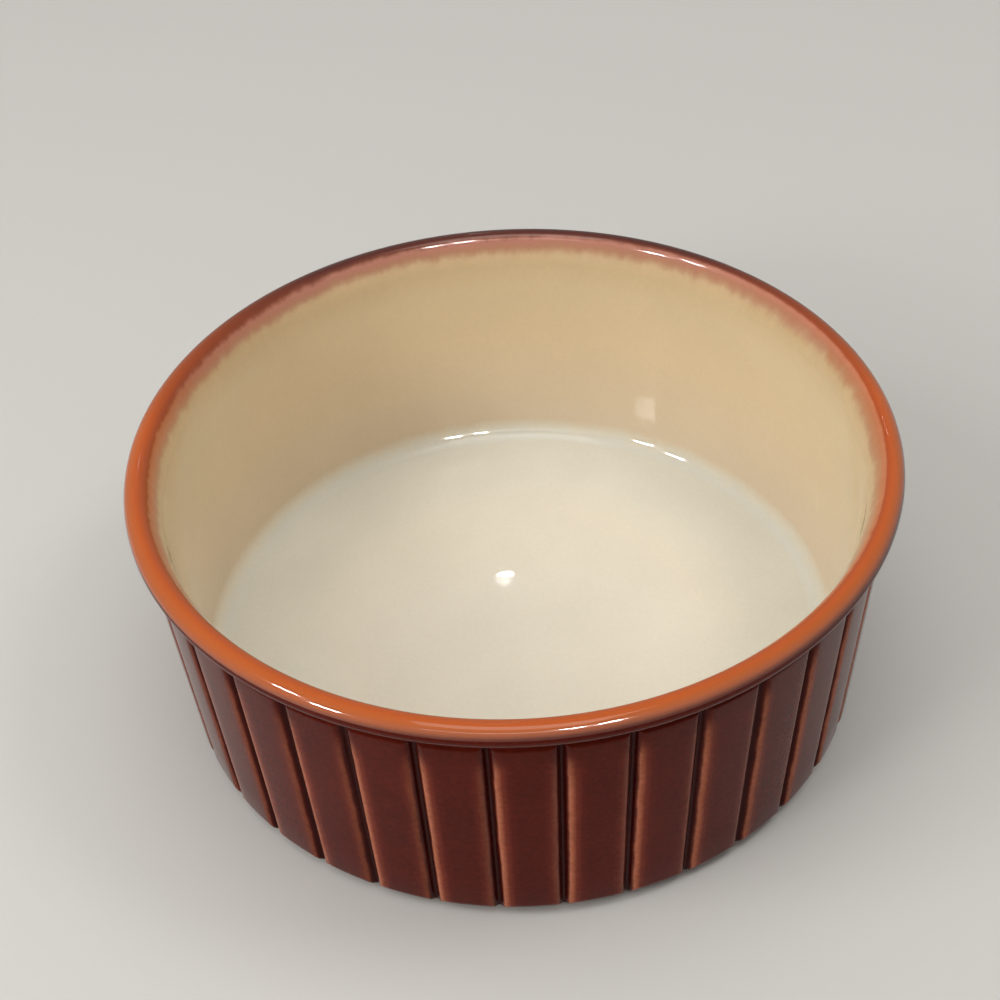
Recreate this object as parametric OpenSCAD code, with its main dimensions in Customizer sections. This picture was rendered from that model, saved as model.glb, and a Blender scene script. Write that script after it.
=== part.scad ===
// Round stoneware casserole dish: a ribbed, slightly tapered wall, a rolled lip and a foot ring.
// Origin on the axis at table level, +Z up, millimetres.

/* [Dish] */
// Diameter over the lip
mouth_d = 200; // [160:5:260]
// Height from the table to the crest of the lip
height = 77; // [60:1:110]
// How far the wall leans out from upright, in degrees
wall_lean = 3.8; // [2:0.2:7]
// Thickness of the wall, from the panels to the inside, glaze included
wall_t = 5.6; // [5:0.1:8]
// Thickness of the floor, glaze included
floor_t = 5; // [4:0.5:10]
// Radius of the inside corner between floor and wall
corner_r = 6; // [4:0.5:10]

/* [Lip] */
// Thickness of the rolled lip
lip_t = 6.3; // [5.5:0.1:7]
// How far the lip stands out beyond the line of the panels
lip_overhang = 2.7; // [2.2:0.1:4]
// How far the inside flares from upright just under the lip, in degrees
flare_lean = 27; // [22:1:40]
// Radius of the cove under the lip
cove_r = 2.6; // [2.2:0.1:3.2]
// How deep the cove goes in behind the panels
cove_d = 1.2; // [0.8:0.1:1.6]
// How far the cove runs up past the lip's lowest point
cove_lap = 1.6; // [1.2:0.1:2]

/* [Ribs] */
// Number of panels around the wall, with a groove between each two
panel_count = 36; // [20:1:42]
// Depth of a groove
groove_d = 1.7; // [1.2:0.1:2]
// Width of a groove's flat bottom
groove_bottom_w = 1; // [0.6:0.1:2]
// Radius of the rounded edges of the panels
shoulder_r = 2.2; // [2.2:0.1:3]

/* [Foot] */
// Height of the foot ring, which is also the gap under the panels
foot_h = 2; // [1.5:0.1:3]
// Width of the foot ring's flat bottom
foot_w = 6; // [4:0.5:10]
// Distance from the panels' lower edge in to the foot ring
foot_inset = 6; // [5:0.5:10]
// Radius of the wall's lower edge
base_edge_r = 3; // [2:0.5:4]

/* [Glaze] */
// Thickness of the glaze coats
glaze_t = 0.4; // [0.3:0.05:0.6]
// How far the rim's glaze comes down outside, from the crest
rim_outside = 2.4; // [2.4:0.1:3.4]
// How far the rim's glaze comes down inside, from the crest
rim_inside = 5.5; // [4.5:0.5:6.5]
// Width of bare clay left on each side of the foot ring
bare_w = 1.5; // [1:0.5:3]

/* [Hidden] */
// Facets of a preview, around the dish and around a small rounding
$fn = 180;
rounding_fn = 64;
// Room past a surface for a shape that cuts it
cut = 1;
mouth_r = mouth_d / 2;
lip_r = lip_t / 2;
lip_x = mouth_r - lip_r;
lip_z = height - lip_r;
floor_z = foot_h + floor_t;

// Radius of the panels' cone at height z, behind a coat of thickness c
function panel_r(z, c) = mouth_r - lip_overhang - (lip_z - z) * tan(wall_lean) - c / cos(wall_lean);
// Radius of the inside cone at height z, behind a coat of thickness c
function inside_r(z, c) = panel_r(z, wall_t - c);

// Centre of the rounding at the wall's lower edge
edge_z = foot_h + base_edge_r;
edge_x = panel_r(edge_z, base_edge_r);
// Centre of the rounding at the inside corner
corner_z = floor_z + corner_r;
corner_x = inside_r(corner_z, -corner_r);
// Centre of the cove, which runs into the underside of the lip
cove_z = lip_z - lip_r - cove_r + cove_lap;
cove_x = panel_r(cove_z, cove_d) + cove_r;
// Half the width of a groove where its shoulders meet the panels
groove_half = groove_bottom_w / 2 + sqrt(pow(shoulder_r, 2) - pow(shoulder_r - groove_d, 2));
// The foot ring
foot_outer_r = panel_r(foot_h, 0) - foot_inset;
foot_inner_r = foot_outer_r - foot_w;

// Point where the inside flare touches the lip, behind a coat of thickness c
function flare_top(c) = [lip_x, lip_z] + (lip_r - c) * [-cos(flare_lean), sin(flare_lean)];
// Height where the flare meets the inside cone
function flare_z(c) =
    let (top = flare_top(c), gain = tan(flare_lean))
    (inside_r(0, c) - top.x + top.y * gain) / (gain - tan(wall_lean));

// Half section of the dish filled up to the lip, behind a coat of thickness c
module filled_section(c) {
    r = base_edge_r - c;
    top = flare_top(c);
    difference() {
        union() {
            polygon([
                [0, foot_h + c],
                [edge_x, foot_h + c],
                [edge_x + r * cos(wall_lean), edge_z - r * sin(wall_lean)],
                [panel_r(top.y, c), top.y],
                [0, top.y]
            ]);
            translate([edge_x, edge_z]) circle(r, $fn = rounding_fn);
        }
        translate([cove_x, cove_z]) circle(cove_r + c, $fn = rounding_fn);
    }
    translate([lip_x, lip_z]) circle(lip_r - c, $fn = rounding_fn);
}

// Half section of the hollow, up to the lip, behind a coat of thickness c
module hollow_section(c) {
    r = corner_r + c;
    flare = flare_z(c);
    top = flare_top(c);
    difference() {
        union() {
            polygon([
                [0, floor_z - c],
                [corner_x, floor_z - c],
                [corner_x + r * cos(wall_lean), corner_z - r * sin(wall_lean)],
                [inside_r(flare, c), flare],
                top,
                [top.x, height + cut],
                [0, height + cut]
            ]);
            translate([corner_x, corner_z]) circle(r, $fn = rounding_fn);
        }
        translate([lip_x, lip_z]) circle(lip_r - c, $fn = rounding_fn);
    }
}

// Section of one groove across the wall, with the panels' face at y = 0
module groove_section(c) {
    difference() {
        translate([-groove_half, -groove_d - c]) square([2 * groove_half, groove_d + c + cut]);
        for (side = [-1, 1])
            translate([side * groove_half, -shoulder_r])
                circle(shoulder_r - c, $fn = rounding_fn);
    }
}

// All the grooves, from under the wall up into the cove
module grooves(c) {
    length = cove_z / cos(wall_lean) + c;
    for (i = [0 : panel_count - 1])
        rotate(360 / panel_count * (i + 0.5))
            translate([panel_r(0, 0), 0, 0])
                rotate([0, wall_lean, 0])
                    linear_extrude(length) rotate(-90) groove_section(c);
}

// The ribbed outside as a solid, behind a coat of thickness c
module ribbed_form(c) {
    difference() {
        rotate_extrude() filled_section(c);
        grooves(c);
    }
}

// Clay: wall, floor, lip and foot ring in one fired piece
module stoneware_body() {
    color("tan") {
        difference() {
            ribbed_form(glaze_t);
            rotate_extrude() hollow_section(glaze_t);
        }
        rotate_extrude() translate([foot_inner_r, 0]) square([foot_w, foot_h + floor_t / 2]);
    }
}

// Cream glaze inside, from the floor up to the rim's glaze
module inside_glaze() {
    color("wheat")
        rotate_extrude()
            intersection() {
                difference() {
                    hollow_section(glaze_t);
                    hollow_section(0);
                }
                square([mouth_r, height - rim_inside]);
            }
}

// Amber glaze over the lip, cut off at one height inside and at another outside
module rim_glaze() {
    split_x = lip_x - lip_r / 2;
    color("sienna")
        rotate_extrude()
            difference() {
                filled_section(0);
                hollow_section(0);
                difference() {
                    filled_section(glaze_t);
                    hollow_section(glaze_t);
                }
                square([split_x, height - rim_inside]);
                translate([split_x, 0]) square([lip_t, height - rim_outside]);
            }
}

// Brown glaze over the panels, the cove and the lip's underside
module outside_glaze() {
    top = height - rim_outside;
    bare_r = foot_outer_r + bare_w;
    color("saddlebrown")
        difference() {
            ribbed_form(0);
            ribbed_form(glaze_t);
            translate([0, 0, top]) cylinder(height, r = mouth_r + cut);
            cylinder(top + cut, r = bare_r);
        }
}

// Brown glaze under the floor, inside the foot ring
module underside_glaze() {
    color("saddlebrown")
        translate([0, 0, foot_h]) cylinder(glaze_t, r = foot_inner_r - bare_w);
}

stoneware_body();
inside_glaze();
rim_glaze();
outside_glaze();
underside_glaze();
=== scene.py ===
# %% [markdown]
# A round stoneware casserole dish
# The CAD model gives the dish its exact sizes, and this lesson gives it its looks. It makes five pieces,
# as a potter would name them: the clay, the cream glaze inside, the amber glaze on the rim, the brown
# glaze outside and the glaze under the foot. Each one stands where its CAD piece is.

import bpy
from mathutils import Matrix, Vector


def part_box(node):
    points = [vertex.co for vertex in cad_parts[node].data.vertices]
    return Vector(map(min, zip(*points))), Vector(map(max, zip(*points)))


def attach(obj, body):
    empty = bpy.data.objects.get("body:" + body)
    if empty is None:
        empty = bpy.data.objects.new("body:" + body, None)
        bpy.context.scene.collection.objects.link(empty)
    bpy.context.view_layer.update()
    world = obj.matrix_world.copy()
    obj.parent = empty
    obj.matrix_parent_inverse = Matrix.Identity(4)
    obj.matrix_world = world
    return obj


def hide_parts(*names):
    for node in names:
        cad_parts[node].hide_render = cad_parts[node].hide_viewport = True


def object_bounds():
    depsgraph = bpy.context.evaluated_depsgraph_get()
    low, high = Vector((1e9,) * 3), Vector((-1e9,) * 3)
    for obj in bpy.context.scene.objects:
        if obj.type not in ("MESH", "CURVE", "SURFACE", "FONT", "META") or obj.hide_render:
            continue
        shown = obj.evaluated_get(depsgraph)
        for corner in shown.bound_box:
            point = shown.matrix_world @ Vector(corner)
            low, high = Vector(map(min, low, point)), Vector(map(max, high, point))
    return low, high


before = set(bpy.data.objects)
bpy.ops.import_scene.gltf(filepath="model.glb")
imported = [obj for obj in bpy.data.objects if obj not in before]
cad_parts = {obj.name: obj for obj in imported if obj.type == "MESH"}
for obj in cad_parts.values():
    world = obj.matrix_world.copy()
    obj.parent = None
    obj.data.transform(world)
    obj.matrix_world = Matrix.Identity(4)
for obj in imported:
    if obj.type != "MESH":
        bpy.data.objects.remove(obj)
cad_low, cad_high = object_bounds()
print("CAD nodes:", sorted(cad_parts))

# %% [markdown]
# Sizes
# Potters and mould makers work in millimetres, so the shapes are drawn in millimetres and shrunk to metres
# at the end. What the CAD boxes tell is read from them, so the pieces can't drift from the model. Angles,
# the wall's thickness and the small radii are not in a box, so they are written here. In the names, r is a
# radius, t a thickness, d a depth, w a width, and h or z a height.

# %% Sizes that the CAD boxes give
import math

import bmesh
import bpy
from mathutils import Matrix, Vector
from mathutils.geometry import intersect_line_sphere_2d, intersect_sphere_sphere_2d

MM = 0.001
mouth_r = cad_high.x / MM
height = cad_high.z / MM
foot_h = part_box("outside_glaze")[0].z / MM
rim_outside_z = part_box("outside_glaze")[1].z / MM
rim_inside_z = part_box("inside_glaze")[1].z / MM
under_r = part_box("underside_glaze")[1].x / MM
glaze_t = (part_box("underside_glaze")[1].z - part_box("underside_glaze")[0].z) / MM
floor_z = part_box("inside_glaze")[0].z / MM + glaze_t
print(f"mouth {2 * mouth_r:.1f} mm, height {height:.1f} mm")
print(f"glaze {glaze_t:.2f} mm, floor at {floor_z:.1f} mm")

# %% Sizes of the wall, lip and foot
wall_lean = math.radians(3.8)
wall_t = 5.6
corner_r = 6.0
lip_r = 3.15
lip_overhang = 2.7
flare_lean = math.radians(27)
cove_r = 2.6
cove_d = 1.2
cove_lap = 1.6
foot_w = 6.0
foot_inset = 6.0
base_edge_r = 3.0
bare_w = 1.5

# Centre of the lip's round section, as radius and height
lip = Vector((mouth_r - lip_r, height - lip_r))


def panel_r(z, c):
    """Radius of the panels' cone at height z, behind a coat of thickness c."""
    return mouth_r - lip_overhang - (lip.y - z) * math.tan(wall_lean) - c / math.cos(wall_lean)


foot_outer_r = panel_r(foot_h, 0) - foot_inset
foot_inner_r = foot_outer_r - foot_w
print(f"panels lean in from {panel_r(height, 0):.1f} to {panel_r(foot_h, 0):.1f} mm radius")

# %% [markdown]
# Roundings
# A mould has no sharp edges, and glaze rounds them further: it lies thick in a crease and is drawn back
# from an edge. So every corner of the section gets a circle: small ones above and below the cove, and a
# wide bend where the inside wall turns out into the flare. A bevel of the finished mesh could round them
# too, but each coat would then be rounded by itself, and the coats would part. With circles in the section
# they stay together: behind a coat a circle keeps its centre, and only its radius changes. The distance
# between the centres of two circles that touch follows from their radii, so Blender's circle-meets-circle
# and line-meets-circle helpers find each centre.

# %% Centres of the roundings
crease_r = 0.7
brow_r = 1.1
kink_r = 14.0

cove_z = lip.y - lip_r - cove_r + cove_lap
cove = Vector((panel_r(cove_z, cove_d) + cove_r, cove_z))
crease = min(
    (Vector(p) for p in intersect_sphere_sphere_2d(lip, lip_r + crease_r, cove, cove_r - crease_r)),
    key=lambda p: p.x,
)
brow = min(
    (
        Vector(p)
        for p in intersect_line_sphere_2d(
            (panel_r(0, brow_r), 0), (panel_r(height, brow_r), height), cove, cove_r + brow_r
        )
        if p
    ),
    key=lambda p: p.y,
)
edge = Vector((panel_r(foot_h + base_edge_r, base_edge_r), foot_h + base_edge_r))
corner = Vector((panel_r(floor_z + corner_r, wall_t + corner_r), floor_z + corner_r))

flare_top = lip + lip_r * Vector((-math.cos(flare_lean), math.sin(flare_lean)))
flare_gain = math.tan(flare_lean)
flare_z = (panel_r(0, wall_t) - flare_top.x + flare_top.y * flare_gain) / (flare_gain - math.tan(wall_lean))
kink_lean = (wall_lean + flare_lean) / 2
kink_reach = kink_r / math.cos((flare_lean - wall_lean) / 2)
kink = Vector((panel_r(flare_z, wall_t), flare_z))
kink += kink_reach * Vector((math.cos(kink_lean), -math.sin(kink_lean)))
print(f"cove at z {cove_z:.1f}, panel tops at z {brow.y:.1f}, flare starts at z {flare_z:.1f} mm")

# %% [markdown]
# Paths
# A potter's template shows half a section, and so do these paths of points, radius across and height up.
# A curve object could hold them too, but a plain list can be drawn again behind a coat of glaze. Arcs and
# straight runs are the only two strokes that it needs, because everything else comes from spinning it.

# %% Arcs and runs
same_point = 1e-4


def arc(centre, radius, start, end, count):
    """Points round a circle, the short way from one angle to another, in degrees."""
    sweep = (end - start + 180) % 360 - 180
    angles = [math.radians(start + sweep * i / count) for i in range(count + 1)]
    return [centre + radius * Vector((math.cos(a), math.sin(a))) for a in angles]


def heading(start, end):
    """Direction from one point to another, in degrees."""
    return math.degrees(math.atan2(end.y - start.y, end.x - start.x))


def run(start, end, count):
    """Points along a straight stretch."""
    return [start.lerp(end, i / count) for i in range(count + 1)]


def chain(*paths):
    """One path out of several, without the points that they share."""
    points = []
    for point in (p for path in paths for p in path):
        if not points or (point - points[-1]).length > same_point:
            points.append(point)
    return points


# %% The outside, behind a coat of thickness c
LEAN = math.degrees(wall_lean)
seam_angle = 0.6
panel_top_share = 0.12
lip_steps = 14
small_steps = 6


def steps(count, c):
    """Steps of a stroke: half as many on the clay, where the glaze hides it."""
    return count // 2 if c else count


def rim_edge(c):
    """Angle on the lip where the rim's glaze stops outside."""
    return math.degrees(math.asin((rim_outside_z - lip.y) / (lip_r - c)))


def outside_path(c):
    """From the rim's glaze round the lip, through the cove and down a panel to the foot."""
    top = rim_edge(c)
    few = steps(small_steps, c)
    base = arc(edge, base_edge_r - c, -LEAN, -90, few)
    brow_arc = arc(brow, brow_r - c, heading(brow, cove), -LEAN, few)
    panel_top = brow_arc[-1].lerp(base[0], panel_top_share)
    return chain(
        arc(lip, lip_r - c, top, top - seam_angle, 1),
        arc(lip, lip_r - c, top - seam_angle, heading(lip, crease), steps(lip_steps, c)),
        arc(crease, crease_r + c, heading(crease, lip), heading(cove, crease), few),
        arc(cove, cove_r + c, heading(cove, crease), heading(cove, brow), few),
        brow_arc,
        run(brow_arc[-1], panel_top, few),
        run(panel_top, base[0], few),
        base,
    )


print("points outside:", len(outside_path(0)))

# %% The rim and the inside, behind a coat of thickness c
FLARE = math.degrees(flare_lean)
crest_steps = 20
flare_steps = 4
rim_bend_steps = 12
wall_bend_steps = 24
wall_steps = 8
corner_steps = 12
floor_steps = 10


def rim_foot(c):
    """Angle on the bend under the flare where the rim's glaze stops inside."""
    return 180 - math.degrees(math.asin((rim_inside_z - kink.y) / (kink_r - c)))


def rim_path(c):
    """From the brown glaze over the crest of the lip and down the flare inside."""
    top = rim_edge(c)
    low = rim_foot(c)
    over = arc(lip, lip_r - c, top + seam_angle, 180 - FLARE, steps(crest_steps, c))
    bend = arc(kink, kink_r - c, 180 - FLARE, low - seam_angle, steps(rim_bend_steps, c))
    seam = arc(kink, kink_r - c, low - seam_angle, low, 1)
    flare = run(over[-1], bend[0], steps(flare_steps, c))
    return chain(arc(lip, lip_r - c, top, top + seam_angle, 1), over, flare, bend, seam)


def inside_path(c):
    """From the rim's glaze down the bend, the wall and the corner to the middle of the floor."""
    low = rim_foot(c)
    seam = arc(kink, kink_r - c, low, low + seam_angle, 1)
    bend = arc(kink, kink_r - c, low + seam_angle, 180 - LEAN, steps(wall_bend_steps, c))
    turn_in = arc(corner, corner_r + c, -LEAN, -90, steps(corner_steps, c))
    wall = run(bend[-1], turn_in[0], steps(wall_steps, c))
    floor_run = run(turn_in[-1], Vector((0, turn_in[-1].y)), steps(floor_steps, c))
    return chain(seam, bend, wall, turn_in, floor_run)


print("points over the rim and inside:", len(rim_path(0)), len(inside_path(0)))

# %% [markdown]
# Turning a piece
# A lathe turns a section into a solid, and so does the spin operator. A Screw modifier would do it as well,
# but the ribs need single steps of the spin later on. A closed section makes a ring, such as the rim's
# coat. An open section whose ends lie on the axis makes a solid with two poles, such as the floor's coat.
# Merging the doubles closes the poles, and only then can the normals be recalculated.

# %% From a section to a finished piece
sharp_turn = math.radians(50)
merge_distance = 1e-3
turned_sides = 360


def draw(section, closed):
    """A new bmesh that holds the section as a wire in the XZ plane."""
    bm = bmesh.new()
    verts = [bm.verts.new((p.x, 0, p.y)) for p in section]
    for a, b in zip(verts, verts[1:] + (verts[:1] if closed else [])):
        bm.edges.new((a, b))
    return bm


def finish_piece(bm, name):
    """Closes the mesh, turns its faces outwards, marks its sharp edges and makes the object."""
    bmesh.ops.remove_doubles(bm, verts=bm.verts, dist=merge_distance)
    bmesh.ops.recalc_face_normals(bm, faces=bm.faces)
    for face in bm.faces:
        face.smooth = True
    for line in bm.edges:
        line.smooth = line.calc_face_angle(0) < sharp_turn
    bmesh.ops.scale(bm, vec=(MM, MM, MM), verts=bm.verts)
    open_edges = sum(not line.is_manifold for line in bm.edges)
    mesh = bpy.data.meshes.new(name)
    bm.to_mesh(mesh)
    bm.free()
    piece = bpy.data.objects.new(name, mesh)
    bpy.context.scene.collection.objects.link(piece)
    print(f"{name}: {len(mesh.polygons)} faces, {open_edges} open edges")
    return piece


def turn(name, section, closed):
    """A turned piece."""
    bm = draw(section, closed)
    wire = bm.verts[:] + bm.edges[:]
    bmesh.ops.spin(bm, geom=wire, axis=(0, 0, 1), angle=math.tau, steps=turned_sides, use_merge=True)
    return finish_piece(bm, name)


# %% [markdown]
# The three plain coats
# Glaze is a thin skin of glass. The rim, the inside and the underside have no ribs, so each is a section
# of the coat, its outer path out and its inner path back, turned once round. Solidify could thicken a bare
# sheet, but it would not meet the clay's own path. A coat that stops on bare clay ends in a small roll,
# because melted glaze draws itself round at its edge.

# %% Rim and inside
rim_section = rim_path(0) + rim_path(glaze_t)[::-1]
rim_glaze = turn("rim_amber_glaze", rim_section, closed=True)

inside_section = inside_path(glaze_t)[::-1] + inside_path(0)
inside_glaze = turn("inside_cream_glaze", inside_section, closed=False)

# %% Underside
roll_steps = 3
disc_steps = 6


def roll(centre, side):
    """The rounded edge where a coat stops, turned to the left (-1) or to the right (1)."""
    tip = arc(centre, glaze_t / 2, -90, 90 - 90 * side, roll_steps)
    back = arc(centre, glaze_t / 2, 90 - 90 * side, 90, roll_steps)
    return chain(tip, back)


under_edge = roll(Vector((under_r - glaze_t / 2, foot_h + glaze_t / 2)), 1)
under_section = chain(
    run(Vector((0, foot_h)), under_edge[0], disc_steps),
    under_edge,
    run(under_edge[-1], Vector((0, foot_h + glaze_t)), disc_steps),
)
underside_glaze = turn("underside_brown_glaze", under_section, closed=False)

# %% [markdown]
# The ribs
# Thirty-six grooves part the wall into panels, with rounded shoulders and a round bottom, because glaze
# pools in them. They could be cut with a Boolean, but that leaves ragged faces. Between two panel middles
# lies one pitch of the pattern, so only one pitch is made: the section is spun over ten degrees in uneven
# steps, close together in the groove and wide apart on the panel. Then each vertex is sunk to the groove's
# depth. A vertex that already lies deeper, in the cove or round the base, stays where it is, and the
# grooves run out softly in the cove.

# %% Shape of one groove
panel_count = 36
groove_d = 1.7
groove_bottom_w = 1.0
shoulder_r = 2.2
pool_r = 0.45
pool_half = 0.75
clay_blend = 0.3
edge_blend = 0.4
groove_rise = 0.5
groove_end_z = cove_z + groove_rise
groove_fade = 2.0
groove_half = groove_bottom_w / 2 + math.sqrt(shoulder_r**2 - (shoulder_r - groove_d) ** 2)
pitch = math.tau / panel_count
print(f"{panel_count} grooves, {2 * groove_half:.1f} mm wide and {groove_d:.1f} mm deep")


def least(a, b, blend):
    """The smaller of two numbers, with a soft change from one to the other."""
    if blend <= 0:
        return min(a, b)
    near = max(blend - abs(a - b), 0) / blend
    return min(a, b) - near * near * blend / 4


def ease(share):
    """A share from 0 to 1 that starts and ends softly."""
    share = min(1.0, max(0.0, share))
    return share * share * (3 - 2 * share)


def groove_depth(x, c):
    """Depth under the panels' face, x to the side of a groove's middle, behind a coat c."""
    if c == 0 and abs(x) < pool_half:
        return groove_d - x * x / (2 * pool_r)
    u = max(0.0, groove_half - abs(x))
    side = shoulder_r - math.sqrt(max(0.0, (shoulder_r - c) ** 2 - u * u))
    return least(side, groove_d + c, clay_blend)


# %% A point of the pitch and its groove
def across_groove(co):
    """How far a point lies to the side of the pitch's groove, and how far behind the panels' face."""
    r = math.hypot(co.x, co.y)
    sideways = r * math.sin(math.atan2(co.y, co.x) - pitch / 2)
    return sideways, (panel_r(co.z, 0) - r) * math.cos(wall_lean)


def sink_groove(co, c):
    """New place of a point of the pitch, sunk to the groove's depth."""
    sideways, recess = across_groove(co)
    depth = groove_depth(sideways, c)
    blend = edge_blend * min(1.0, (depth - c) / groove_d)
    sunk = -least(-recess, -depth, blend) - recess
    sunk *= ease((groove_end_z - co.z) / groove_fade)
    inwards = (-co.xy.normalized() * math.cos(wall_lean)).to_3d()
    return co + sunk * (inwards + Vector((0, 0, math.sin(wall_lean))))


# %% [markdown]
# Distance from a groove
# An iron glaze shows its thickness in its colour: nearly black where it lies deep in a groove, amber where
# it is drawn thin over the groove's shoulders and red brown on the panels. It could be painted, but all of
# that follows the distance from the groove's middle, so each vertex stores that distance in millimetres,
# for the brown glaze's colour to read. Under the base and up on the lip there is no groove, so the distance
# grows quickly there. A second number says how far the glaze breaks to amber, not at all just under the
# lip, where it stays thick, and it holds painted shade too: the amber is weaker on one side of every
# groove, the side that is shaded at the front of the dish.

# %% How far a point is from its groove
off_groove_gain = 4.0
base_break = 2.9
base_recess = 0.4


def from_groove(co):
    """Distance in millimetres from the middle of the pitch's groove, before the groove is sunk."""
    sideways, recess = across_groove(co)
    x = abs(sideways)
    off_groove = max(0.0, recess - groove_depth(x, 0), co.z - groove_end_z)
    x = math.hypot(x, off_groove_gain * off_groove)
    near_base = max(0.0, 1 - abs(recess - base_recess) / base_recess) if co.z < edge.y else 0.0
    return x + near_base * min(0.0, base_break - x)


# %% Where the glaze breaks to amber, weaker on one side as painted shade
break_full_z = brow.y - 11.0
break_end_z = brow.y - 1.0
# Painted shade: the amber on one side of every groove, the side that is shaded at the front of the dish, is
# weakened to this share
shaded_side_share = 0.3
print(f"amber fades out between z {break_full_z:.1f} and {break_end_z:.1f} mm")


def breaks_and_shade(co):
    """How far the glaze thins over a groove's shoulders, from 0 to 1, less on one side as painted shade."""
    side = 1.0 if across_groove(co)[0] > 0 else shaded_side_share
    return side * (1 - ease((co.z - break_full_z) / (break_end_z - break_full_z)))


# %% Columns of one pitch
pool_columns = [0.0, 0.12, 0.25, 0.4, 0.57]
shoulder_angles = (60, 48, 36, 25, 14, 0)
panel_steps = 3
wall_mid_r = panel_r(height / 2, 0)
half_pitch = wall_mid_r * pitch / 2
panel_half = half_pitch - groove_half
shoulder_columns = [groove_half - shoulder_r * math.sin(math.radians(a)) for a in shoulder_angles]
panel_columns = [groove_half + panel_half * i / panel_steps for i in range(1, panel_steps + 1)]
half_columns = pool_columns + shoulder_columns + panel_columns
columns = [-x for x in half_columns[:0:-1]] + half_columns
print(f"{len(columns) - 1} columns to a pitch of {2 * half_pitch:.1f} mm")


def turn_ribbed(name, outer, inner, closed):
    """A ribbed piece: its outer path lies on the glaze, its inner path on the clay."""
    bm = draw(outer + inner, closed)
    coat_of = bm.verts.layers.float.new("coat")
    groove_of = bm.verts.layers.float.new("from_groove")
    breaks_and_shade_of = bm.verts.layers.float.new("breaks_and_shade")
    bm.verts.ensure_lookup_table()
    for vert in bm.verts[len(outer):]:
        vert[coat_of] = glaze_t
    last = bm.verts[:] + bm.edges[:]
    for a, b in zip(columns, columns[1:]):
        step = (b - a) / wall_mid_r
        last = bmesh.ops.spin(bm, geom=last, axis=(0, 0, 1), angle=step, steps=1)["geom_last"]
    for vert in bm.verts:
        vert[groove_of] = from_groove(vert.co)
        # This number carries the glaze's breaks and the painted shade on one side of each groove
        vert[breaks_and_shade_of] = breaks_and_shade(vert.co)
        vert.co = sink_groove(vert.co, vert[coat_of])
    bmesh.ops.spin(
        bm,
        geom=bm.verts[:] + bm.edges[:] + bm.faces[:],
        axis=(0, 0, 1),
        angle=math.tau - pitch,
        steps=panel_count - 1,
        use_duplicate=True,
    )
    return finish_piece(bm, name)


# %% [markdown]
# The brown coat
# The brown glaze covers everything outside, from the lip's underside down the ribs and round the base, and
# stops on bare clay before the foot ring. It could be the clay's surface with another colour, but a coat of
# its own ends in a real edge that the light catches.

# %% The brown coat outside
hem_steps = 3
bare_r = foot_outer_r + bare_w
face_path = outside_path(0)
clay_path = outside_path(glaze_t)
hem = roll(Vector((bare_r + glaze_t / 2, foot_h + glaze_t / 2)), -1)
tip_at = roll_steps + 1
brown_face = chain(face_path, run(face_path[-1], hem[0], hem_steps), hem[:tip_at])
brown_back = chain(hem[tip_at:], run(hem[-1], clay_path[-1], hem_steps), clay_path[::-1])
outside_glaze = turn_ribbed("outside_brown_glaze", brown_face, brown_back, closed=True)

# %% [markdown]
# The clay
# Under the glaze is one piece of fired stoneware, and it shows only at the foot, which is wiped clean so
# that the dish doesn't stick to the kiln shelf. The foot ring could be a ring of its own, but it is cast
# with the wall, so one section runs from the middle of the underside, round the foot ring and up the ribs,
# over the lip and down inside to the middle of the floor.

# %% The clay body
foot_edge_r = 0.9
foot_fillet_r = 1.0
fillet_steps = 4
foot_edge_steps = 5
bare_steps = 2
under_z = foot_h + glaze_t


def foot_path():
    """The foot ring's section, from its inner side to its outer side."""
    low = foot_edge_r
    high = under_z - foot_fillet_r
    return chain(
        arc(Vector((foot_inner_r - foot_fillet_r, high)), foot_fillet_r, 90, 0, fillet_steps),
        arc(Vector((foot_inner_r + low, low)), low, 180, 270, foot_edge_steps),
        arc(Vector((foot_outer_r - low, low)), low, -90, 0, foot_edge_steps),
        arc(Vector((foot_outer_r + foot_fillet_r, high)), foot_fillet_r, 180, 90, fillet_steps),
    )


foot = foot_path()
clay_section = chain(
    run(Vector((0, under_z)), foot[0], disc_steps),
    foot,
    run(foot[-1], clay_path[-1], bare_steps),
    clay_path[::-1],
    rim_path(glaze_t),
    inside_path(glaze_t),
)
clay = turn_ribbed("stoneware_clay", [], clay_section, closed=False)

# %% [markdown]
# Distance from the crest
# Across the rim the colour changes by the way glaze ran off it: brown low outside, amber over the crest,
# pink where the amber thins over the cream, tan on the wall and grey cream on the floor. A material for
# each would leave hard lines. All of it follows one number, the distance from the crest of the lip,
# positive inwards, so that number is stored at the vertices too.

# %% Distance from the crest as an attribute
lip_low_angle = -60
crest_to_flare = lip_r * math.radians(90 - FLARE)


def from_crest(r, z):
    """Distance from the lip's crest in millimetres, negative outside."""
    point = Vector((r, z))
    angle = heading(lip, point)
    if lip_low_angle < angle < 180 - FLARE:
        return lip_r * math.radians(angle - 90)
    return crest_to_flare + (point - flare_top).length


def mark(piece, name, value_at):
    """Stores a number at every vertex of a turned piece."""
    layer = piece.data.attributes.new(name, "FLOAT", "POINT")
    for vert, item in zip(piece.data.vertices, layer.data):
        item.value = value_at(vert.co.xy.length / MM, vert.co.z / MM)


for piece in (rim_glaze, inside_glaze):
    mark(piece, "from_crest", from_crest)
mark(underside_glaze, "from_groove", lambda r, z: half_pitch)
print(f"amber runs {crest_to_flare:.1f} mm from the crest to the flare")

# %% [markdown]
# Materials
# Colours are written as sRGB hex values, as a paint chart gives them, and turned to the linear values that
# the shader wants. One small function adds any node with its settings and its links. Patterns could be
# scaled by eye, but each is written as a size in millimetres, so it stays true to the real surface.

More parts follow.
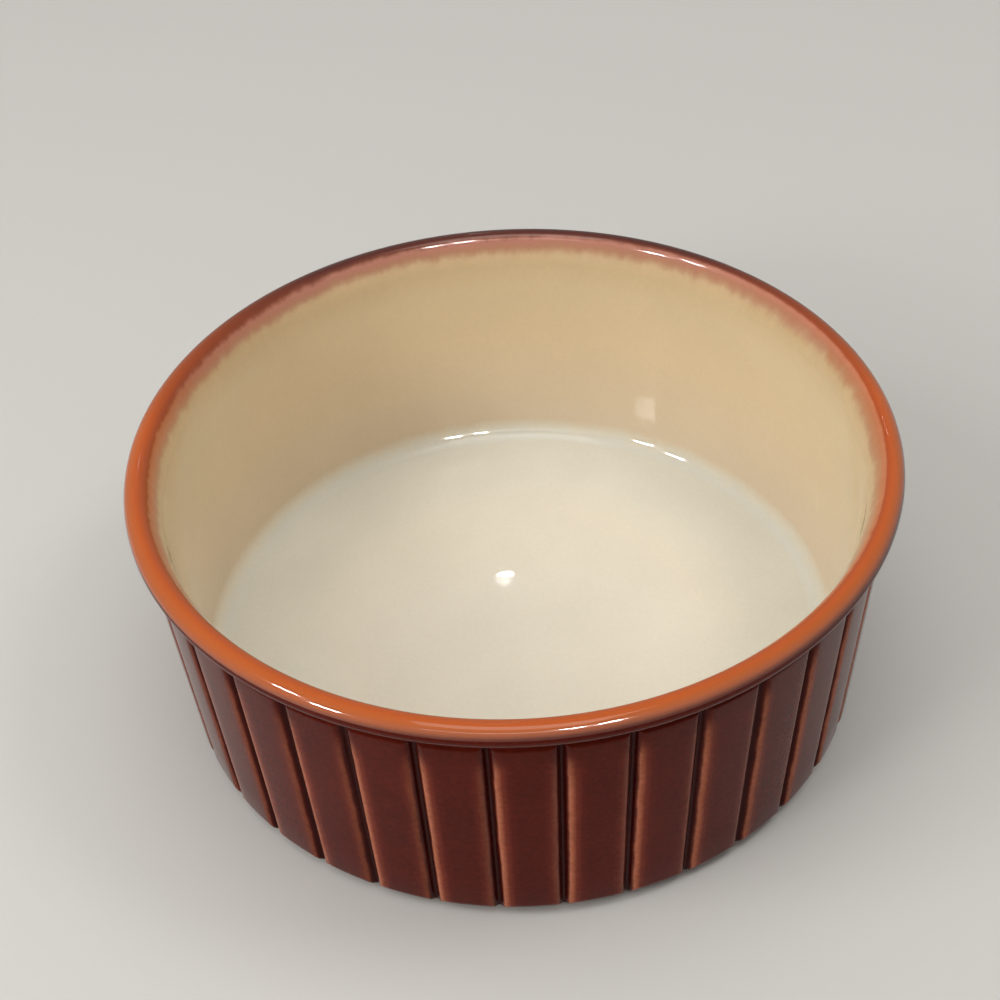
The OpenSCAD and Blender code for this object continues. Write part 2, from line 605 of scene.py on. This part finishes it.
# %% Helpers for materials
def linear(code):
    """Linear RGBA of an sRGB hex colour."""
    channels = [int(code[i : i + 2], 16) / 255 for i in (1, 3, 5)]
    return [c / 12.92 if c <= 0.04045 else ((c + 0.055) / 1.055) ** 2.4 for c in channels] + [1.0]


def add(tree, kind, inputs=None, stops=None, **settings):
    """Adds a node. An input is a value or another node's output, and stops are a colour ramp's."""
    node = tree.nodes.new(kind)
    for name, value in settings.items():
        setattr(node, name, value)
    for socket, value in (inputs or {}).items():
        if isinstance(value, bpy.types.NodeSocket):
            tree.links.new(value, node.inputs[socket])
        else:
            node.inputs[socket].default_value = value
    for i, (position, code) in enumerate(stops or []):
        while len(node.color_ramp.elements) <= i:
            node.color_ramp.elements.new(1.0)
        node.color_ramp.elements[i].position = position
        node.color_ramp.elements[i].color = linear(code)
    return node


def new_material(name, surface):
    """A material whose shader has these values on its own sockets."""
    material = bpy.data.materials.new(name)
    material.use_nodes = True
    tree = material.node_tree
    tree.nodes.clear()
    shader = add(tree, "ShaderNodeBsdfPrincipled", surface)
    add(tree, "ShaderNodeOutputMaterial", {"Surface": shader.outputs["BSDF"]})
    return material, tree, shader


def per_mm(size):
    """Scale of a pattern whose features are about this many millimetres, on coordinates in metres."""
    return 1 / (size * MM)


# %% [markdown]
# The skin of a glaze
# Melted glass never sets quite even. Its colour has clouds, where more of it ran together, and a fine
# mottle from the grains that it was mixed of, and its skin has a faint orange peel, so that highlights have
# soft, wavering borders. The peel is far too shallow to model, so it is a bump. All the glazes here share
# it, each with its own sizes, so one function adds it to any of them.

# %% Clouds, mottle and orange peel
peel_strength = 0.2


def shifted(tree, value, noise, reach):
    """A value moved up and down by a noise, by up to half of reach."""
    move = add(tree, "ShaderNodeMath", {0: noise, 1: reach, 2: -reach / 2}, operation="MULTIPLY_ADD")
    return add(tree, "ShaderNodeMath", {0: value, 1: move.outputs[0]}).outputs[0]


def fired_skin(tree, shader, place, colour, cloud, mottle, peel):
    """Cloud and mottle have a size in mm, a detail and a reach, and peel a size, a detail and a depth."""
    tone = 1.0
    for size, detail, reach in (cloud, mottle):
        noise = add(tree, "ShaderNodeTexNoise", {"Vector": place, "Scale": per_mm(size), "Detail": detail})
        tone = shifted(tree, tone, noise.outputs["Fac"], reach)
    toned = add(tree, "ShaderNodeHueSaturation", {"Color": colour, "Value": tone})
    size, detail, depth = peel
    noise = add(tree, "ShaderNodeTexNoise", {"Vector": place, "Scale": per_mm(size), "Detail": detail})
    relief = {"Height": noise.outputs["Fac"], "Strength": peel_strength, "Distance": depth * MM}
    bump = add(tree, "ShaderNodeBump", relief)
    tree.links.new(toned.outputs["Color"], shader.inputs["Base Color"])
    tree.links.new(bump.outputs["Normal"], shader.inputs["Normal"])


# %% [markdown]
# Brown iron glaze
# The outside is a glossy stoneware glaze coloured by iron. To the eye it is a deep red brown on the panels,
# nearly black in the grooves and amber pink where it breaks over their edges. Towards the right side of the
# dish the amber is weaker, and that is painted shade, for the side away from the lamps on the left. Two
# colour ramps over the distance from a groove, one with the breaks and one without, are mixed by how far
# the glaze breaks there, with that painted shade.

# %% Brown glaze
panel_brown = "#54170D"
deep_stops = [
    (0.0, "#340705"),
    (0.72, "#3A0906"),
    (1.08, "#4A0F09"),
    (1.7, panel_brown),
    (6.0, panel_brown),
]
break_stops = [
    (0.0, "#340705"),
    (0.72, "#3A0906"),
    (1.08, "#581C11"),
    (1.55, "#BC7052"),
    (2.1, "#AC6044"),
    (3.0, "#7C3424"),
    (4.4, "#5C1B11"),
    (6.0, panel_brown),
]
# Painted shade: the share of the amber breaks that is left on the right side of the dish, away from the
# lamps on the left
shaded_right_share = 0.5
waver_w = 9.0
waver_reach = 0.8
brown_surface = {
    "Roughness": 0.12,
    "IOR": 1.4,
    "Specular IOR Level": 0.15,
    "Specular Tint": linear("#FF9078"),
}
brown_skin = {"cloud": (16, 3.0, 0.5), "mottle": (1.2, 3.0, 0.8), "peel": (5, 2.0, 0.12)}


def ramp_over(tree, value, stops):
    """A colour ramp over a length in millimetres."""
    low, high = stops[0][0], stops[-1][0]
    level = add(tree, "ShaderNodeMapRange", {"Value": value, "From Min": low, "From Max": high})
    places = [((at - low) / (high - low), code) for at, code in stops]
    return add(tree, "ShaderNodeValToRGB", {"Fac": level.outputs["Result"]}, stops=places).outputs["Color"]


def brown_iron_glaze():
    """Brown glaze that is dark in the grooves and breaks amber over their edges, less on the right as
    painted shade.
    """
    material, tree, shader = new_material("brown_iron_glaze_fired_glossy", brown_surface)
    place = add(tree, "ShaderNodeTexCoord").outputs["Object"]
    groove = add(tree, "ShaderNodeAttribute", attribute_name="from_groove").outputs["Fac"]
    waver = add(tree, "ShaderNodeTexNoise", {"Vector": place, "Scale": per_mm(waver_w), "Detail": 3.0})
    wavered = shifted(tree, groove, waver.outputs["Fac"], waver_reach)
    # How far the glaze breaks to amber, with painted shade on one side of every groove
    breaks_and_shade_here = add(tree, "ShaderNodeAttribute", attribute_name="breaks_and_shade").outputs["Fac"]
    # Painted shade: the breaks fade from the left of the dish to the right
    painted_light_by_side = add(tree, "ShaderNodeSeparateXYZ", {"Vector": place}).outputs["X"]
    ends = {"From Max": mouth_r * MM, "To Min": 1.0, "To Max": shaded_right_share}
    around = add(tree, "ShaderNodeMapRange", {"Value": painted_light_by_side, **ends}).outputs["Result"]
    thinned_and_shaded = add(tree, "ShaderNodeMath", {0: breaks_and_shade_here, 1: around}, operation="MULTIPLY").outputs[0]
    pair = {0: thinned_and_shaded, 6: ramp_over(tree, wavered, deep_stops), 7: ramp_over(tree, wavered, break_stops)}
    colour = add(tree, "ShaderNodeMix", pair, data_type="RGBA").outputs[2]
    fired_skin(tree, shader, place, colour, **brown_skin)
    return material


brown = brown_iron_glaze()
print(brown.name, "has", len(brown.node_tree.nodes), "nodes")

# %% [markdown]
# Amber rim and cream inside
# On the rim the same iron glaze is thin, so it turns amber, and it fades through pink into the cream glaze,
# which is tan on the wall and a greyer cream where it pools on the floor. Near the wall the floor's cream
# is darker, and that is painted shade. The borders are ragged, because the two glazes ran into each other
# as they melted. The colours also move round the dish: on the left the amber reaches lower outside, and at
# the back the lip is brown and the pink band wider. On the right the pink starts earlier and ends later,
# and on the left its band is narrower, which is painted light and shade: the right of the flare inside is
# lit and the left shaded. It could be a painted image, but that would blur close up. Here noise and the
# side of the dish move the distance from the crest before a colour ramp reads it, and the back has a ramp
# of its own.
# Both coats read the same ramps, so they meet without a line. To the eye they are wet glass: a crisp mirror
# on the cream, and a slightly softer one on the rim.

# %% Colours from the crest of the lip to the floor
# The cream greys where it pools on the floor, and the darker ring near the wall is painted shade
cream_stops = [
    (13.0, "#E6CDA2"),
    (18.0, "#E8D1A8"),
    (35.0, "#E7D0A9"),
    (58.0, "#DFCBAD"),
    (67.0, "#DDCAAE"),
    (69.8, "#DBD4C0"),
    # Painted shade: darker ring on the floor next to the wall, paler again towards the middle
    (72.0, "#D5D2C4"),
    (77.0, "#D6D3C4"),
    (84.0, "#DED7C6"),
]
rim_stops = [
    (-5.0, "#48150D"),
    (-4.2, "#541A10"),
    (-3.7, "#6A2E1E"),
    (-3.2, "#905038"),
    (-2.5, "#AE5E3A"),
    (-1.4, "#B85A22"),
    (0.0, "#BE5414"),
    (1.2, "#B84E0E"),
    (2.6, "#AC480E"),
    (3.4, "#C67448"),
    (4.8, "#CA8058"),
    (6.6, "#C68E6A"),
    (7.5, "#CCA27C"),
    (8.4, "#D8BA90"),
    (10.0, "#E0C499"),
] + cream_stops
back_stops = [
    (-5.0, "#48150D"),
    (-2.0, "#48150D"),
    (0.6, "#501C12"),
    (1.5, "#642A1A"),
    (2.2, "#7C402C"),
    (2.8, "#AC6E58"),
    (3.5, "#C48470"),
    (4.4, "#C0826A"),
    (5.6, "#BE8868"),
    (6.6, "#CAA07A"),
    (7.6, "#DABA90"),
    (9.0, "#E0C499"),
] + cream_stops
print(len(rim_stops), "colours across the rim and inside,", len(back_stops), "at the back")

# %% What moves the colours round the dish
tooth_w = 3.0
wave_w = 14.0
drawn_out = 0.4
noise_middle = 0.5
# Painted shade: how far back the pink moves on the shaded left of the flare
shaded_left_share = -0.5
back_from = 0.1 * mouth_r
back_to = 0.8 * mouth_r
# Each drift: where from the crest it changes, and its reach outside and inside of that, in millimetres
drifts = {
    "teeth": ((1.0, 3.5), (0.25, 2.4)),
    "waves": ((1.0, 3.5), (0.0, 2.4)),
    # Painted light and shade: on the lit right of the flare the pink starts earlier and the cream later,
    # and on the shaded left the pink band is narrower
    "painted_light_pink": ((0.4, 2.0), (0.0, 1.5)),
    "painted_light_cream": ((4.0, 7.5), (0.0, -1.0)),
    "low_amber": ((-3.2, -1.0), (1.2, 0.0)),
}


def drift_shares(tree, place):
    """How much of each drift there is at a place, and how far that place is at the back."""
    stretch = {"Vector": place, "Scale": (1, 1, drawn_out)}
    stretched = add(tree, "ShaderNodeMapping", stretch).outputs["Vector"]
    shares = {}
    for name, size, detail in (("teeth", tooth_w, 3.0), ("waves", wave_w, 2.0)):
        pattern = {"Vector": stretched, "Scale": per_mm(size), "Detail": detail}
        noise = add(tree, "ShaderNodeTexNoise", pattern).outputs["Fac"]
        shares[name] = add(tree, "ShaderNodeMath", {0: noise, 1: -noise_middle}).outputs[0]
    sides = add(tree, "ShaderNodeSeparateXYZ", {"Vector": place}).outputs
    reach_x = mouth_r * MM
    # Painted light and shade by side, from the shaded left to the lit right
    painted_light_by_side = {"Value": sides["X"], "From Min": -reach_x, "From Max": reach_x, "To Min": shaded_left_share}
    shares["painted_light_pink"] = add(tree, "ShaderNodeMapRange", painted_light_by_side).outputs["Result"]
    shares["painted_light_cream"] = shares["painted_light_pink"]
    to_left = {"Value": sides["X"], "From Max": -reach_x}
    shares["low_amber"] = add(tree, "ShaderNodeMapRange", to_left).outputs["Result"]
    to_back = {"Value": sides["Y"], "From Min": back_from * MM, "From Max": back_to * MM}
    return shares, add(tree, "ShaderNodeMapRange", to_back).outputs["Result"]


# %% Amber and cream glazes
glass_ior = 1.5
rim_roughness = 0.07
cream_roughness = 0.03
cream_skin = {"cloud": (25, 3.0, 0.12), "mottle": (1.2, 2.0, 0.08), "peel": (6, 1.0, 0.06)}


def rim_colour(tree, place):
    """Colour by the distance from the crest, once every drift has moved that distance."""
    crest = add(tree, "ShaderNodeAttribute", attribute_name="from_crest").outputs["Fac"]
    shares, at_back = drift_shares(tree, place)
    moved = crest
    for name, (between, (outside, inside)) in drifts.items():
        ends = {"From Min": between[0], "From Max": between[1], "To Min": outside, "To Max": inside}
        reach = add(tree, "ShaderNodeMapRange", {"Value": crest, **ends}).outputs["Result"]
        terms = {0: shares[name], 1: reach, 2: moved}
        moved = add(tree, "ShaderNodeMath", terms, operation="MULTIPLY_ADD").outputs[0]
    pair = {0: at_back, 6: ramp_over(tree, moved, rim_stops), 7: ramp_over(tree, moved, back_stops)}
    return add(tree, "ShaderNodeMix", pair, data_type="RGBA").outputs[2]


def lip_and_inside_glaze(name, roughness):
    """Glossy glaze whose colour follows the distance from the crest of the lip."""
    material, tree, shader = new_material(name, {"Roughness": roughness, "IOR": glass_ior})
    place = add(tree, "ShaderNodeTexCoord").outputs["Object"]
    fired_skin(tree, shader, place, rim_colour(tree, place), **cream_skin)
    return material


amber = lip_and_inside_glaze("amber_iron_glaze_thin_on_rim", rim_roughness)
cream = lip_and_inside_glaze("cream_glaze_fired_glossy", cream_roughness)
print(amber.name, "and", cream.name, "have", len(cream.node_tree.nodes), "nodes each")

# %% [markdown]
# Bare clay
# Fired stoneware without glaze is matt and buff to the eye, with sand grains that give it a fine grit and
# iron specks that burn to small brown dots. It shows on the foot ring only. One flat colour would look like
# plastic there, so a slow noise tints it, cells of a Voronoi pattern make the specks and a fine noise the
# grit.

# %% Clay
clay_stops = [(0.3, "#B59468"), (0.7, "#CFB287")]
tint_w = 9.0
speck_brown = "#7A5636"
speck_spacing = 1.8
# A speck ends between these shares of the spacing from its middle
speck_edge = (0.12, 0.2)
grit_w = 0.5
grit_d = 0.15
grit_strength = 0.5
clay_roughness = 0.85


def bare_stoneware():
    """Matt buff clay with iron specks and a fine grit."""
    material, tree, shader = new_material("buff_stoneware_fired_bare", {"Roughness": clay_roughness})
    place = add(tree, "ShaderNodeTexCoord").outputs["Object"]
    tint = add(tree, "ShaderNodeTexNoise", {"Vector": place, "Scale": per_mm(tint_w), "Detail": 5.0})
    buff = add(tree, "ShaderNodeValToRGB", {"Fac": tint.outputs["Fac"]}, stops=clay_stops)
    cells = add(tree, "ShaderNodeTexVoronoi", {"Vector": place, "Scale": per_mm(speck_spacing)})
    ends = {"From Min": speck_edge[0], "From Max": speck_edge[1]}
    beside = add(tree, "ShaderNodeMapRange", {"Value": cells.outputs["Distance"], **ends})
    pair = {0: beside.outputs["Result"], 6: linear(speck_brown), 7: buff.outputs["Color"]}
    spotted = add(tree, "ShaderNodeMix", pair, data_type="RGBA")
    grit = add(tree, "ShaderNodeTexNoise", {"Vector": place, "Scale": per_mm(grit_w), "Detail": 3.0})
    relief = {"Height": grit.outputs["Fac"], "Strength": grit_strength, "Distance": grit_d * MM}
    bump = add(tree, "ShaderNodeBump", relief)
    tree.links.new(spotted.outputs[2], shader.inputs["Base Color"])
    tree.links.new(bump.outputs["Normal"], shader.inputs["Normal"])
    return material


bare = bare_stoneware()
print(bare.name, "has", len(bare.node_tree.nodes), "nodes")

# %% [markdown]
# Dressing
# Each piece now gets its material, moves with the dish's one body and takes the place of its CAD node. A
# CAD node could be dressed as it is, but these have the soft edges and the numbers that the glazes read.

# %% Dress the pieces
dressing = [
    (clay, bare, "stoneware_body", "fired_clay"),
    (inside_glaze, cream, "inside_glaze", "cream_glaze"),
    (rim_glaze, amber, "rim_glaze", "amber_glaze"),
    (outside_glaze, brown, "outside_glaze", "brown_glaze"),
    (underside_glaze, brown, "underside_glaze", "brown_glaze"),
]
for piece, material, node_name, slot_name in dressing:
    piece.data.materials.append(material)
    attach(piece, "root")
    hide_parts(node_name)
    print(f"{piece.name} stands for {node_name} in {material.name}")

# %% [markdown]
# Floor
# The dish stands on a plain pale floor that takes its shadow. A square would do, but its corners bend the
# horizon, so the floor is a wide disc.

# %% Floor
studio_r = 10.0
studio_sides = 128
floor_mesh = bpy.data.meshes.new("studio_floor")
bm = bmesh.new()
bmesh.ops.create_circle(bm, cap_ends=True, segments=studio_sides, radius=studio_r)
bm.to_mesh(floor_mesh)
bm.free()
floor = bpy.data.objects.new("studio_floor", floor_mesh)
bpy.context.scene.collection.objects.link(floor)
floor_surface = {"Base Color": linear("#CECBC5"), "Roughness": 0.8}
floor_mesh.materials.append(new_material("pale_matt_floor", floor_surface)[0])
print(f"floor {2 * studio_r:.0f} m wide")

# %% [markdown]
# Sky
# A bare white sky would light the dish flatly, so this one is dim at the horizon and brighter overhead, as
# a studio ceiling is. It is a few world nodes, where a picture of a studio would be a file to load. The
# camera sees a plain pale backdrop instead, and the glaze mirrors that same backdrop.

# %% World
sky_strength = 0.22
zenith_strength = 2.2
zenith_focus = 8.0
world = bpy.data.worlds.new("studio_sky")
bpy.context.scene.world = world
world.use_nodes = True
sky = world.node_tree
sky.nodes.clear()
direction = add(sky, "ShaderNodeTexCoord").outputs["Generated"]
upwards = add(sky, "ShaderNodeSeparateXYZ", {"Vector": direction}).outputs["Z"]
raised = add(sky, "ShaderNodeMath", {0: upwards, 1: 0.0}, operation="MAXIMUM").outputs[0]
lobe = add(sky, "ShaderNodeMath", {0: raised, 1: zenith_focus}, operation="POWER").outputs[0]
terms = {0: lobe, 1: zenith_strength, 2: sky_strength}
strength = add(sky, "ShaderNodeMath", terms, operation="MULTIPLY_ADD").outputs[0]
soft_sky = add(sky, "ShaderNodeBackground", {"Color": linear("#FFFFFF"), "Strength": strength})
backdrop = add(sky, "ShaderNodeBackground", {"Color": linear("#BEBCB7"), "Strength": 1.0})
light_path = add(sky, "ShaderNodeLightPath")
shown = light_path.outputs["Is Camera Ray"]
for mirrored in ("Is Glossy Ray", "Is Transmission Ray"):
    pair = {0: shown, 1: light_path.outputs[mirrored]}
    shown = add(sky, "ShaderNodeMath", pair, operation="MAXIMUM").outputs[0]
seen = add(sky, "ShaderNodeMixShader", {0: shown, 1: soft_sky.outputs[0], 2: backdrop.outputs[0]})
add(sky, "ShaderNodeOutputWorld", {"Surface": seen.outputs[0]})
print(f"sky {sky_strength:.2f} at the horizon, {sky_strength + zenith_strength:.2f} overhead")

# %% [markdown]
# Lamps
# Soft light shows the form, and small bright lamps show the gloss. One kind of lamp could do both, but a
# broad lamp makes a big pale mirror image on glaze, and a small one a hard shadow. So three broad lamps, on
# the left, to the front of that and on the right, give the shading and are kept out of the reflections.
# The others show in the gloss only, and give the sparks on the lip, in the corner and on the floor.

# %% Lamps
soft_distance = 1.2
spark_distance = 1.1
middle = (0, 0, height / 2)
by_corner = (29, 66.6, floor_z)
on_floor = (-4.5, 22, floor_z)
tube = (0.12, 0.015)
band = (0.12, 0.03)
block = (0.08, 0.03)
strip = (0.8, 0.06)
bulb = (0.011, 0.008)
ceiling = (0.5, 0.5)
# Each lamp: what it faces in millimetres, azimuth and elevation, width and height in metres, watts
soft_lamps = {
    "window": (middle, 110, 44, (0.4, 0.4), 2.8),
    "front_window": (middle, 131, 31, (0.3, 0.3), 3.4),
    "fill": (middle, -95, 60, (0.3, 0.3), 1.8),
}
sparks = {
    "spark_left": (middle, 110, 44, tube, 3.0),
    "spark_front_left": (by_corner, 130.9, 32.2, band, 6.0),
    "spark_front": (middle, 194, 50, block, 4.0),
    "spark_front_beside": (middle, 205.4, 50, block, 4.0),
    "glow_front": (middle, 180, 47, strip, 0.8),
    "spark_back": (on_floor, 1, 44.1, bulb, 0.02),
    "glow_overhead": (middle, 170, 86, ceiling, 1.6),
}


def lamp(name, distance, target, azimuth, elevation, size, watts):
    """A rectangular lamp that faces a point of the dish; azimuth 0 is behind it and 90 to its left."""
    data = bpy.data.lights.new(name, "AREA")
    data.shape = "RECTANGLE"
    data.size, data.size_y = size
    data.energy = watts
    light = bpy.data.objects.new(name, data)
    bpy.context.scene.collection.objects.link(light)
    around = math.radians(azimuth)
    rise = math.radians(elevation)
    level = Vector((-math.sin(around), math.cos(around), 0)) * math.cos(rise)
    towards = level + Vector((0, 0, math.sin(rise)))
    light.location = Vector(target) * MM + towards * distance
    light.rotation_euler = towards.to_track_quat("Z", "Y").to_euler()
    return light


for name, row in soft_lamps.items():
    lamp(name, soft_distance, *row).visible_glossy = False
for name, row in sparks.items():
    lamp(name, spark_distance, *row).visible_diffuse = False
print(len(soft_lamps), "soft lamps and", len(sparks), "for the gloss")

# %% [markdown]
# Camera
# The view was worked out from the outlines of the lip, the floor and the base, which fix the tilt, the
# distance and the lens together. Placing it by eye would get one of them right at the cost of another. The
# lens is first written in pixels, as it was measured, and then turned to millimetres for the sensor.

# %% Camera
focal_px = 1775
image_px = 1000
sensor_mm = 36.0
nearest = 0.01
camera_tilt = math.radians(41.74)
camera_roll = math.radians(-3.28)
camera_turn = math.radians(1.0)
camera_distance = 471.9 * MM
aim_x = -3.8
aim_drop = 17.87
aim = Vector((aim_x, 0, lip.y - aim_drop)) * MM

view_dir = Vector((0, math.cos(camera_tilt), -math.sin(camera_tilt)))
level_up = Vector((0, math.sin(camera_tilt), math.cos(camera_tilt)))
across = Matrix.Rotation(-camera_roll, 3, view_dir) @ Vector((1, 0, 0))
up = Matrix.Rotation(-camera_roll, 3, view_dir) @ level_up
axes = Matrix((across, up, -view_dir)).transposed().to_4x4()
camera_data = bpy.data.cameras.new("photo_camera")
camera_data.sensor_width = sensor_mm
camera_data.lens = sensor_mm * focal_px / image_px
camera_data.clip_start = nearest
camera = bpy.data.objects.new("photo_camera", camera_data)
bpy.context.scene.collection.objects.link(camera)
standing = Matrix.Translation(aim - camera_distance * view_dir)
camera.matrix_world = Matrix.Rotation(camera_turn, 4, "Z") @ standing @ axes
bpy.context.scene.camera = camera
bpy.context.scene.view_settings.view_transform = "Standard"
print(f"lens {camera_data.lens:.1f} mm, {camera_distance / MM:.0f} mm from the dish")

# %% [markdown]
# The CAD box
# The dressed dish has to stay inside the CAD model's box, because whatever it stands beside relies on that
# box. That box is printed here.

# %% Size of the CAD model
print("CAD box", list(cad_low), list(cad_high))
